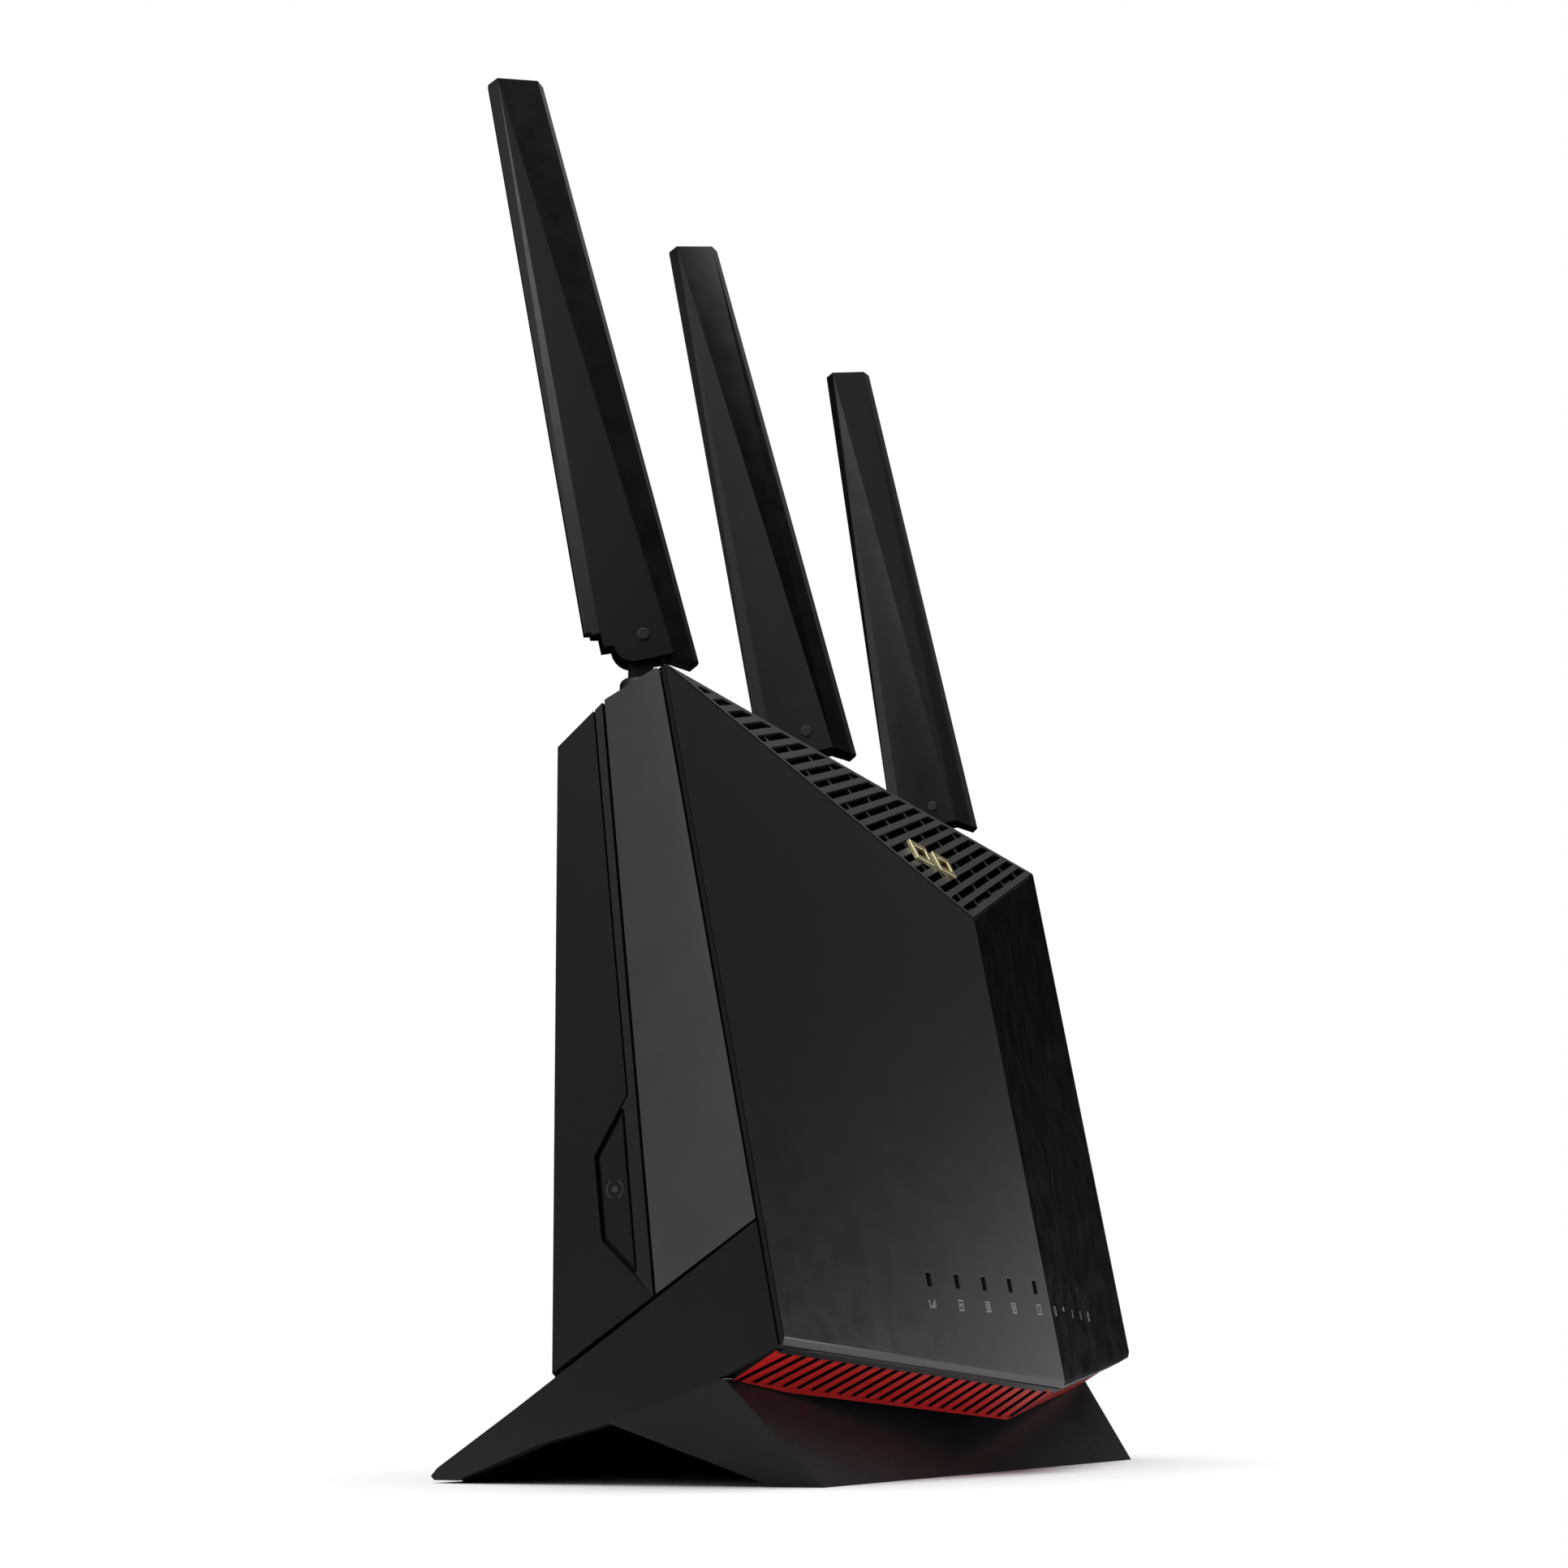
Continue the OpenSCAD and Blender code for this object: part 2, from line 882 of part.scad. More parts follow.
module power_button() {
    color("#303234")
        along_y(power_at.x, 0, power_at.y)
            union() {
                translate([0, 0, 20])
                    cylinder(r = 4.5, h = back_y + 1.6 - 20);
                translate([0, 0, 19])
                    cylinder(r = 5.6, h = 1.2);
                translate([0, 0, 12.4])
                    cylinder(r = 1.5, h = 7);
            }
}

// A compression spring as a plain closed coil of square wire
module coil(r, wire, len, turns) {
    steps = 14;
    n = turns * steps;
    points = [for (i = [0:n]) let (a = 360 * i / steps, z = wire / 2 + (len - wire) * i / n)
        each [[(r - wire / 2) * cos(a), (r - wire / 2) * sin(a), z - wire / 2],
            [(r + wire / 2) * cos(a), (r + wire / 2) * sin(a), z - wire / 2],
            [(r + wire / 2) * cos(a), (r + wire / 2) * sin(a), z + wire / 2],
            [(r - wire / 2) * cos(a), (r - wire / 2) * sin(a), z + wire / 2]]];
    faces = concat(
        [for (i = [0:n - 1], k = [0:3])
            [4 * i + k, 4 * i + (k + 1) % 4, 4 * i + 4 + (k + 1) % 4, 4 * i + 4 + k]],
        [[3, 2, 1, 0], [4 * n, 4 * n + 1, 4 * n + 2, 4 * n + 3]]);
    polyhedron(points, faces);
}

module power_spring() {
    color("#c0c2c4")
        along_y(power_at.x, board_y + 6.1, power_at.y)
            coil(3, 0.4, 7.7, 5);
}

module reset_button() {
    color("#303234")
        along_y(reset_at.x, 0, reset_at.y)
            union() {
                translate([0, 0, 12.6])
                    cylinder(r = 1.2, h = 9.4);
                translate([0, 0, 11.6])
                    cylinder(r = 3, h = 1.2);
            }
}

module reset_spring() {
    color("#c0c2c4")
        along_y(reset_at.x, board_y + 4.3, reset_at.y)
            coil(2, 0.3, 2.2, 3);
}

module side_button() {
    color("#1a1c1e")
        union() {
            intersection() {
                side_layer(0.1, 5.5);
                translate([-200, 0, 0])
                    cube([200, 60, 200]);
                across(260)
                    offset(delta = -0.15)
                        polygon(button_outline);
            }
            intersection() {
                side_layer(2.9, 3.9);
                translate([-200, 0, 0])
                    cube([200, 60, 200]);
                across(260)
                    offset(delta = 1.1)
                        polygon(button_outline);
            }
            translate([-114, side_button_at.x, side_button_at.y])
                rotate([0, 90, 0])
                    cylinder(r = 1.4, h = 5.3);
        }
}

module side_spring() {
    color("#c0c2c4")
        translate([-112.2, side_button_at.x, side_button_at.y])
            rotate([0, 90, 0])
                coil(2.5, 0.4, 4.5, 4);
}

module internal_antenna() {
    color("#b08d3a")
        translate([-20, back_y - wall - 0.8, 126])
            cube([40, 0.8, 14]);
}

// Thin coaxial leads from the antenna sockets to the board
module antenna_leads() {
    color("#202020")
        for (x = antenna_pitch * [-1, 0, 1]) {
            route = [[x, hinge_y, 145.4], [x, 14, 134], [0.88 * x, 8, 124], [0.88 * x, board_y + 0.8, 112]];
            for (i = [0:2])
                rod(route[i], route[i + 1], 0.7);
            for (p = route)
                translate(p)
                    sphere(r = 0.85, $fn = 24);
        }
}

// A straight round rod between two points
module rod(a, b, r) {
    d = b - a;
    translate(a)
        rotate([0, acos(d.z / norm(d)), atan2(d.y, d.x)])
            cylinder(r = r, h = norm(d), $fn = 24);
}

// ---------- antennas ----------

// Frame of antenna i at its hinge: x to the blade's right, y up the blade, z out of its face
module at_hinge(i, lean) {
    turn = antenna_turn[i];
    multmatrix([[cos(turn), 0, -sin(turn), antenna_pitch * (i - 1)],
            [-sin(turn), 0, -cos(turn), hinge_y],
            [0, 1, 0, hinge_z],
            [0, 0, 0, 1]])
        rotate(lean)
            children();
}

// Corners of one end of a blade half, with the heights of its left edge, left face, crease, right face and right edge
function blade_end(y, edge_l, face_l, crease, face_r, edge_r, z) = [
    [-edge_l, y, 0], [edge_r, y, 0], [-edge_l, y, z[0]], [edge_r, y, z[4]],
    [-face_l, y, z[1]], [crease, y, z[2]], [face_r, y, z[3]]];
function blade_points(s) = [for (p = concat(
    blade_end(-9, 13.2, 9.9, 6, 10.2, 11.7, [1.5, 3.3, 5, 4.3, 1]),
    blade_end(blade_len, blade_tip_w / 2 + 0.2, 4.7, -4.6, 4.9, 6.1, [0.8, 3, 3.2, 2.1, 0.2]))) [p.x, p.y, s * p.z]];

module blade_outline() {
    polygon(concat([[-14.4, 2.5], [-9.3, 2.5], [-9.3, -1]],
        [for (a = [180:15:270]) [-2.9 + 4.1 * cos(a), -1 + 4.7 * sin(a)]],
        [[5.9, -5.7], [10.1, -8.3], [12.2, -7.9], [6.6, blade_len - 2.6],
        [4.9, blade_len - 1.5], [-4.7, blade_len], [-blade_tip_w / 2 - 0.3, blade_len - 0.2]]));
}

// The slot that the tongue turns in, open below and to the left
module hinge_slot() {
    translate([-16, -12])
        square([19.3, 15.3]);
    circle(r = 4.5);
}

module radiator_outline(inset) {
    polygon([[-7 + inset, 14 + inset], [6 - inset, 14 + inset], [2.8 - inset, blade_len - 7 - inset],
        [-3.4 + inset, blade_len - 7 - inset]]);
}

module blade_half(s) {
    lift = s > 0 ? 0.06 : -7;
    color("#232527")
        difference() {
            intersection() {
                hull_of(blade_points(s));
                translate([0, 0, lift])
                    linear_extrude(6.94)
                        blade_outline();
            }
            translate([0, 0, -slot_t / 2])
                linear_extrude(slot_t)
                    hinge_slot();
            translate([0, 0, -0.7])
                linear_extrude(1.4)
                    radiator_outline(0);
            translate([0, 0, -8])
                cylinder(r = pin_r, h = 16);
        }
}

module blade_front(i) {
    at_hinge(i, antenna_lean[i])
        blade_half(1);
}

module blade_back(i) {
    at_hinge(i, antenna_lean[i])
        blade_half(-1);
}

module radiator(i) {
    color("#b08d3a")
        at_hinge(i, antenna_lean[i])
            translate([0, 0, -0.4])
                linear_extrude(0.8)
                    radiator_outline(0.8);
}

module hinge_pin(i) {
    color("#4a4c4e")
        at_hinge(i, antenna_lean[i])
            translate([0, 0, -4])
                cylinder(r = pin_r, h = 8.9);
}

module swivel(i) {
    low = boss_top + 0.2 - hinge_z;
    color("#1c1e20")
        difference() {
            union() {
                translate([antenna_pitch * (i - 1), hinge_y, 146.2])
                    cylinder(r = stem_r, h = boss_top + 1 - 146.2);
                translate([antenna_pitch * (i - 1), hinge_y, hinge_z])
                    rotate_extrude()
                        collar_profile(low, -collar_top);
                at_hinge(i, 0)
                    translate([0, 0, -tongue_t / 2])
                        linear_extrude(tongue_t)
                            tongue_outline();
            }
            at_hinge(i, 0)
                translate([0, 0, -6])
                    cylinder(r = pin_r + pivot_gap, h = 12);
        }
}

module collar_profile(low, high) {
    round_r = 1.6;
    polygon(concat([[0, low], [collar_r, low]],
        [for (a = [0:15:90]) [collar_r - round_r + round_r * cos(a), high - round_r + round_r * sin(a)]],
        [[0, high]]));
}

module tongue_outline() {
    translate([-tongue_w / 2, -collar_top - 1])
        square([tongue_w, collar_top + 1]);
    circle(r = 4.1);
}

// The ring that keeps a swivel in its socket
module clip(i) {
    color("#8a8c8e")
        translate([antenna_pitch * (i - 1), hinge_y, 146.2])
            difference() {
                cylinder(r = 5.6, h = 2);
                translate([0, 0, -1])
                    cylinder(r = stem_r, h = 4);
            }
}

// ---------- drawing ----------

front_panel();
front_cover();
rear_cover();
side_trim_left();
side_trim_right();
port_plate();
top_grille();
top_badge();
bottom_grille();
stand();
front_foot_pads();
rear_foot_pad();
stand_screws();
case_screws();
light_guide();
led_board();
main_board();
board_screws();
heat_sink();
thermal_pads();
shield_cans();
capacitors();
network_jacks();
usb_jacks();
dc_jack();
power_switch();
reset_switch();
side_switch();
power_button();
power_spring();
reset_button();
reset_spring();
side_button();
side_spring();
internal_antenna();
antenna_leads();
swivel(0);  // left_swivel
clip(0);  // left_clip
hinge_pin(0);  // left_pin
blade_front(0);  // left_blade_front
blade_back(0);  // left_blade_back
radiator(0);  // left_radiator
swivel(1);  // middle_swivel
clip(1);  // middle_clip
hinge_pin(1);  // middle_pin
blade_front(1);  // middle_blade_front
blade_back(1);  // middle_blade_back
radiator(1);  // middle_radiator
swivel(2);  // right_swivel
clip(2);  // right_clip
hinge_pin(2);  // right_pin
blade_front(2);  // right_blade_front
blade_back(2);  // right_blade_back
radiator(2);  // right_radiator
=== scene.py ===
"""Wireless router: materials, fine detail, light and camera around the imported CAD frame."""
import json
import math

import bpy
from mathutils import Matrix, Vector
from mathutils.bvhtree import BVHTree


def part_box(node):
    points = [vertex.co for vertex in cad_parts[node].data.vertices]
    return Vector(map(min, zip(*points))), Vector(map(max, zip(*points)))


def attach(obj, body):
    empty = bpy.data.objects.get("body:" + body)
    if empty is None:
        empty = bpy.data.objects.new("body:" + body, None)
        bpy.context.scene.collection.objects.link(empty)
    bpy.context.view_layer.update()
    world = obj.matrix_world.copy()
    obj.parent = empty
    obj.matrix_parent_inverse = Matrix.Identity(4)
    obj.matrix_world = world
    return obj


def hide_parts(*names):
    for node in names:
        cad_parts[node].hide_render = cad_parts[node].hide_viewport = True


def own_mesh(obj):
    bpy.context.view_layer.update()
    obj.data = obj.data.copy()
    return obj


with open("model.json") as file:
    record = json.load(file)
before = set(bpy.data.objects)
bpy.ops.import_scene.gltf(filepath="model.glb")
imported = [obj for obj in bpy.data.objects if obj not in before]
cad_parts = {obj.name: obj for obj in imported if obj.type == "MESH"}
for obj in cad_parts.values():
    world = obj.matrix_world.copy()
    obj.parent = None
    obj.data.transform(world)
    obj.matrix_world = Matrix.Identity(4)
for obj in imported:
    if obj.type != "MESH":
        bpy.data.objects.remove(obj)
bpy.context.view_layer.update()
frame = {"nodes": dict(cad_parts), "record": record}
NODES = frame["nodes"]
MM = 0.001
HOUSING = "housing"
SIDES = ("left", "middle", "right")


# ---------- node tools ----------

class Tree:
    """A short way to write node trees."""

    def __init__(self, material):
        self.nodes = material.node_tree.nodes
        self.links = material.node_tree.links

    def add(self, kind, **settings):
        node = self.nodes.new(kind)
        for name, value in settings.items():
            setattr(node, name, value)
        return node

    def join(self, source, target):
        self.links.new(source, target)


def new_material(name):
    material = bpy.data.materials.new(name)
    material.use_nodes = True
    tree = Tree(material)
    shader = tree.nodes["Principled BSDF"]
    place = tree.add("ShaderNodeTexCoord")
    return material, tree, shader, place.outputs["Object"]


def noise(tree, place, size, detail=4.0, roughness=0.55):
    """Noise whose features are about size metres across."""
    node = tree.add("ShaderNodeTexNoise")
    node.inputs["Scale"].default_value = 1.0 / size
    node.inputs["Detail"].default_value = detail
    node.inputs["Roughness"].default_value = roughness
    tree.join(place, node.inputs["Vector"])
    return node.outputs["Fac"]


def ramp(tree, value, low, high, start=0.3, end=0.7):
    """A colour that goes from low to high as value goes from start to end."""
    node = tree.add("ShaderNodeValToRGB")
    node.color_ramp.elements[0].position = start
    node.color_ramp.elements[1].position = end
    node.color_ramp.elements[0].color = (*low, 1)
    node.color_ramp.elements[1].color = (*high, 1)
    tree.join(value, node.inputs["Fac"])
    return node.outputs["Color"]


def spread(tree, value, low, high, start=0.3, end=0.7):
    """A number that goes from low to high as value goes from start to end."""
    node = tree.add("ShaderNodeMapRange")
    node.inputs["From Min"].default_value = start
    node.inputs["From Max"].default_value = end
    node.inputs["To Min"].default_value = low
    node.inputs["To Max"].default_value = high
    tree.join(value, node.inputs["Value"])
    return node.outputs["Result"]


def bump(tree, height, distance, strength, before=None):
    node = tree.add("ShaderNodeBump")
    node.inputs["Distance"].default_value = distance
    node.inputs["Strength"].default_value = strength
    tree.join(height, node.inputs["Height"])
    if before is not None:
        tree.join(before, node.inputs["Normal"])
    return node.outputs["Normal"]


def shade(colour, factor):
    return tuple(min(1.0, c * factor) for c in colour)


# ---------- materials ----------

def plastic(name, colour, rough, grain, depth, strength, specular=0.5, mottle=0.12):
    """Injection-moulded plastic: spark-eroded grain, its size and depth given in millimetres, with
    slow mottling of colour and gloss."""
    material, tree, shader, place = new_material(name)
    slow = noise(tree, place, 24 * MM, 3.0)
    fine = noise(tree, place, grain * MM, 2.0, 0.6)
    smear = noise(tree, place, 7 * MM, 5.0, 0.65)
    tint = ramp(tree, slow, shade(colour, 1 - mottle), shade(colour, 1 + mottle))
    tree.join(tint, shader.inputs["Base Color"])
    tree.join(spread(tree, smear, rough - 0.04, rough + 0.05), shader.inputs["Roughness"])
    shader.inputs["Specular IOR Level"].default_value = specular
    wave = bump(tree, noise(tree, place, 9 * MM, 1.0), 0.03 * MM, 0.12)
    tree.join(bump(tree, fine, depth * MM, strength, wave), shader.inputs["Normal"])
    return material


def metal(name, colour, rough=0.3, brush=None):
    """Metal with fine scratches, drawn out along one axis where brush gives a stretch."""
    material, tree, shader, place = new_material(name)
    if brush:
        stretch = tree.add("ShaderNodeMapping")
        stretch.inputs["Scale"].default_value = brush
        tree.join(place, stretch.inputs["Vector"])
        place = stretch.outputs["Vector"]
    lines = noise(tree, place, 0.5 * MM, 5.0, 0.7)
    blotch = noise(tree, place, 5 * MM, 3.0)
    tree.join(ramp(tree, blotch, shade(colour, 0.86), shade(colour, 1.06)), shader.inputs["Base Color"])
    tree.join(spread(tree, lines, rough - 0.08, rough + 0.12), shader.inputs["Roughness"])
    tree.join(bump(tree, lines, 0.01 * MM, 0.3), shader.inputs["Normal"])
    shader.inputs["Metallic"].default_value = 1.0
    return material


def rubber(name, colour):
    material, tree, shader, place = new_material(name)
    fine = noise(tree, place, 0.5 * MM, 4.0, 0.7)
    tree.join(ramp(tree, fine, shade(colour, 0.8), shade(colour, 1.25)), shader.inputs["Base Color"])
    tree.join(spread(tree, fine, 0.72, 0.88), shader.inputs["Roughness"])
    tree.join(bump(tree, fine, 0.03 * MM, 0.5), shader.inputs["Normal"])
    return material


def solder_mask(name, mask, track):
    """A circuit board: coated laminate with the faint relief of its tracks."""
    material, tree, shader, place = new_material(name)
    tracks = tree.add("ShaderNodeTexBrick")
    tracks.inputs["Scale"].default_value = 260
    tracks.inputs["Color1"].default_value = (*mask, 1)
    tracks.inputs["Color2"].default_value = (*shade(mask, 1.25), 1)
    tracks.inputs["Mortar"].default_value = (*track, 1)
    tracks.inputs["Mortar Size"].default_value = 0.03
    tree.join(place, tracks.inputs["Vector"])
    tree.join(tracks.outputs["Color"], shader.inputs["Base Color"])
    tree.join(spread(tree, noise(tree, place, 3 * MM), 0.28, 0.4), shader.inputs["Roughness"])
    tree.join(bump(tree, tracks.outputs["Fac"], 0.03 * MM, 0.4), shader.inputs["Normal"])
    return material


def clear_plastic(name, colour):
    material, tree, shader, place = new_material(name)
    haze = noise(tree, place, 1.2 * MM, 3.0)
    tree.join(ramp(tree, haze, shade(colour, 0.9), colour), shader.inputs["Base Color"])
    tree.join(spread(tree, haze, 0.16, 0.3), shader.inputs["Roughness"])
    shader.inputs["Transmission Weight"].default_value = 0.85
    shader.inputs["IOR"].default_value = 1.5
    return material


def printed_ink(name, colour):
    material, tree, shader, place = new_material(name)
    specks = noise(tree, place, 0.12 * MM, 2.0)
    tree.join(ramp(tree, specks, shade(colour, 0.75), colour), shader.inputs["Base Color"])
    tree.join(spread(tree, specks, 0.5, 0.65), shader.inputs["Roughness"])
    return material


def second_colour(material, space, axis, limit, colour, beyond, rough=None):
    """Another colour, and roughness if given, where the normal or the place along one axis is beyond
    the limit, or within it."""
    tree = Tree(material)
    shader = tree.nodes["Principled BSDF"]
    first = shader.inputs["Base Color"].links[0].from_socket
    parts = tree.add("ShaderNodeSeparateXYZ")
    tree.join(tree.add("ShaderNodeTexCoord").outputs[space], parts.inputs["Vector"])
    size = tree.add("ShaderNodeMath", operation="ABSOLUTE")
    tree.join(parts.outputs[axis], size.inputs[0])
    choice = tree.add("ShaderNodeMath", operation="GREATER_THAN" if beyond else "LESS_THAN")
    choice.inputs[1].default_value = limit
    tree.join(size.outputs["Value"], choice.inputs[0])
    mix = tree.add("ShaderNodeMix", data_type="RGBA")
    tree.join(choice.outputs["Value"], mix.inputs[0])
    tree.join(first, mix.inputs[6])
    mix.inputs[7].default_value = (*colour, 1)
    tree.join(mix.outputs[2], shader.inputs["Base Color"])
    if rough is not None:
        blend = tree.add("ShaderNodeMix", data_type="FLOAT")
        tree.join(choice.outputs["Value"], blend.inputs[0])
        tree.join(shader.inputs["Roughness"].links[0].from_socket, blend.inputs[2])
        blend.inputs[3].default_value = rough
        tree.join(blend.outputs[0], shader.inputs["Roughness"])


PANEL = plastic("panel_satin", (0.0035, 0.0036, 0.0037), 0.22, 0.30, 0.010, 0.2)
COVER = plastic("cover_grey", (0.070, 0.0705, 0.071), 0.45, 0.40, 0.02, 0.35, 0.3)
REAR = plastic("rear_black", (0.0050, 0.0051, 0.0053), 0.45, 0.40, 0.02, 0.35, 0.3)
TRIM = plastic("trim_black", (0.0080, 0.0082, 0.0085), 0.40, 0.25, 0.01, 0.25, 0.4)
KEY = plastic("key_black", (0.0045, 0.0046, 0.0048), 0.42, 0.25, 0.01, 0.25, 0.3)
GRILLE = plastic("grille_grey", (0.0095, 0.0097, 0.0100), 0.5, 0.30, 0.015, 0.3, 0.4)
RED = plastic("grille_red", (0.50, 0.0045, 0.004), 0.40, 0.30, 0.012, 0.3, 0.25, 0.08)
STAND = plastic("stand_black", (0.0115, 0.0116, 0.0118), 0.42, 0.40, 0.02, 0.35, 0.2)
BLADE = plastic("blade_black", (0.0045, 0.0046, 0.0048), 0.30, 0.35, 0.010, 0.25)
HINGE = plastic("hinge_black", (0.0100, 0.0102, 0.0105), 0.42, 0.30, 0.012, 0.3)
SOCKET = plastic("socket_black", (0.0060, 0.0060, 0.0062), 0.45, 0.30, 0.012, 0.3)
USB_BLUE = plastic("usb_blue", (0.015, 0.10, 0.42), 0.4, 0.30, 0.012, 0.3)
PIN = plastic("pin_head", (0.045, 0.046, 0.048), 0.34, 0.25, 0.01, 0.25)
SLEEVE = plastic("capacitor_sleeve", (0.03, 0.05, 0.16), 0.35, 0.35, 0.02, 0.35)
GOLD = metal("badge_gold", (0.80, 0.70, 0.42), 0.30)
STEEL = metal("zinc_steel", (0.50, 0.50, 0.51), 0.35)
NICKEL = metal("jack_nickel", (0.62, 0.61, 0.59), 0.28, (1, 12, 1))
TIN = metal("tinned_can", (0.70, 0.70, 0.69), 0.34)
ALUMINIUM = metal("heat_sink_metal", (0.72, 0.72, 0.73), 0.42, (1, 1, 8))
CONTACT = metal("contact_gold", (0.85, 0.62, 0.28), 0.25)
COPPER = metal("radiator_copper", (0.62, 0.34, 0.17), 0.38)
FOOT = rubber("foot_rubber", (0.012, 0.012, 0.012))
LEAD = rubber("lead_jacket", (0.016, 0.016, 0.016))
PAD = rubber("thermal_pad", (0.22, 0.30, 0.42))
BOARD = solder_mask("main_laminate", (0.012, 0.10, 0.035), (0.03, 0.17, 0.07))
CLEAR = clear_plastic("light_guide", (0.72, 0.76, 0.80))
GREEN_LENS = clear_plastic("link_lens_green", (0.10, 0.35, 0.08))
AMBER_LENS = clear_plastic("link_lens_amber", (0.50, 0.22, 0.04))
INK = printed_ink("grey_print", (0.42, 0.43, 0.44))
FAINT_INK = printed_ink("faint_print", (0.050, 0.051, 0.052))

# Darker: the panel's side edges, the red grille's slot walls, the cover's lip, top and inside
COVER_WALL = 6.5 * MM
COVER_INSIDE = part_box("front_cover")[1].x - COVER_WALL
# Painted shade: the panel's side edges are darker and rougher, standing in for the shadow in the seam
# beside the cover
second_colour(PANEL, "Normal", "X", 0.85, (0.0012, 0.0012, 0.0012), True, rough=0.9)
# Painted shade: the red grille's slot walls are near black, standing in for the shadow inside the slots
second_colour(RED, "Normal", "Z", 0.5, (0.0030, 0.0024, 0.0024), False)
# The cover's faces that do not face sideways, its lip and top, are near black; on the lip this is
# painted shade for the seam along the panel
second_colour(COVER, "Normal", "X", 0.5, (0.0050, 0.0051, 0.0053), False)
second_colour(COVER, "Object", "X", COVER_INSIDE, (0.0030, 0.0030, 0.0031), False)

FINISH = {
    "front_panel": PANEL, "front_cover": COVER, "rear_cover": REAR,
    "side_trim_left": TRIM, "side_trim_right": TRIM, "side_button": KEY, "port_plate": REAR,
    "top_grille": GRILLE, "top_badge": GOLD, "bottom_grille": RED, "stand": STAND,
    "front_foot_pads": FOOT, "rear_foot_pad": FOOT,
    "stand_screws": STEEL, "case_screws": STEEL, "board_screws": STEEL,
    "light_guide": CLEAR, "led_board": BOARD, "main_board": BOARD,
    "heat_sink": ALUMINIUM, "thermal_pads": PAD, "shield_cans": TIN, "capacitors": SLEEVE,
    "network_jacks": NICKEL, "usb_jacks": USB_BLUE, "dc_jack": SOCKET,
    "power_switch": SOCKET, "reset_switch": SOCKET, "side_switch": SOCKET,
    "power_button": KEY, "reset_button": KEY,
    "power_spring": STEEL, "reset_spring": STEEL, "side_spring": STEEL,
    "internal_antenna": COPPER, "antenna_leads": LEAD,
}
ANTENNA_FINISH = {"swivel": HINGE, "clip": STEEL, "pin": PIN, "blade_front": BLADE, "blade_back": BLADE,
                  "radiator": COPPER}
for side in SIDES:
    for part, material in ANTENNA_FINISH.items():
        FINISH[f"{side}_{part}"] = material


# ---------- CAD nodes: finish and softened edges ----------

# Width of the rounding on each node's edges, in millimetres
EDGE = {
    "front_panel": 0.30, "front_cover": 0.35, "rear_cover": 0.35, "side_trim_left": 0.15,
    "side_trim_right": 0.15, "side_button": 0.2, "top_grille": 0.16, "top_badge": 0.14,
    "bottom_grille": 0.16, "stand": 0.40, "front_foot_pads": 0.2, "rear_foot_pad": 0.3,
    "port_plate": 0.3, "power_button": 0.4, "network_jacks": 0.12, "usb_jacks": 0.1, "dc_jack": 0.2,
    "heat_sink": 0.15, "shield_cans": 0.3,
}
for side in SIDES:
    for part, width in {"blade_front": 0.28, "blade_back": 0.28, "swivel": 0.3, "pin": 0.22}.items():
        EDGE[f"{side}_{part}"] = width

WELD_GAP = 0.004 * MM
FLAT_ANGLE = math.radians(1)
EDGE_ANGLE = math.radians(16)


def soften(node, width):
    """Rounds a CAD node's edges with modifiers, so that they catch the light."""
    obj = NODES[node]
    weld = obj.modifiers.new("weld", "WELD")
    weld.merge_threshold = WELD_GAP
    flat = obj.modifiers.new("flatten", "DECIMATE")
    flat.decimate_type = "DISSOLVE"
    flat.angle_limit = FLAT_ANGLE
    edge = obj.modifiers.new("edge", "BEVEL")
    edge.width = width * MM
    edge.segments = 2
    edge.limit_method = "ANGLE"
    edge.angle_limit = EDGE_ANGLE
    edge.harden_normals = True
    edge.use_clamp_overlap = True


for name, material in FINISH.items():
    NODES[name].data.materials.clear()
    NODES[name].data.materials.append(material)
for name, width in EDGE.items():
    soften(name, width)


# ---------- pieces ----------

def place_object(name, data):
    obj = bpy.data.objects.new(name, data)
    bpy.context.scene.collection.objects.link(obj)
    return obj


def new_piece(name, verts, faces, material, body=HOUSING):
    """A flat-shaded mesh that rides on a body."""
    mesh = bpy.data.meshes.new(name)
    mesh.from_pydata([tuple(v) for v in verts], [], faces)
    mesh.validate()
    mesh.materials.append(material)
    obj = place_object(name, mesh)
    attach(obj, body)


def surface_finder(node):
    """A function that gives the point and the normal where a ray meets a node."""
    mesh = NODES[node].data
    faces = [tuple(f.vertices) for f in mesh.polygons]
    tree = BVHTree.FromPolygons([v.co for v in mesh.vertices], faces)

    def find(origin, direction):
        point, normal, _, _ = tree.ray_cast(Vector(origin), Vector(direction))
        if normal.dot(Vector(direction)) > 0:
            normal = -normal
        return point, normal
    return find


def rectangle(x0, y0, x1, y1):
    return [(x0, y0), (x1, y0), (x1, y1), (x0, y1)]


def outline_box(w, h, line):
    """A rectangular frame as four bars."""
    return [rectangle(-w / 2, -h / 2, w / 2, -h / 2 + line),
            rectangle(-w / 2, h / 2 - line, w / 2, h / 2),
            rectangle(-w / 2, -h / 2 + line, -w / 2 + line, h / 2 - line),
            rectangle(w / 2 - line, -h / 2 + line, w / 2, h / 2 - line)]


# The bars of each numeral, lettered clockwise from the top, with g across the middle
SEGMENTS = {1: "bc", 2: "abged", 3: "abgcd", 4: "fgbc", 5: "afgcd", 6: "afgedc"}


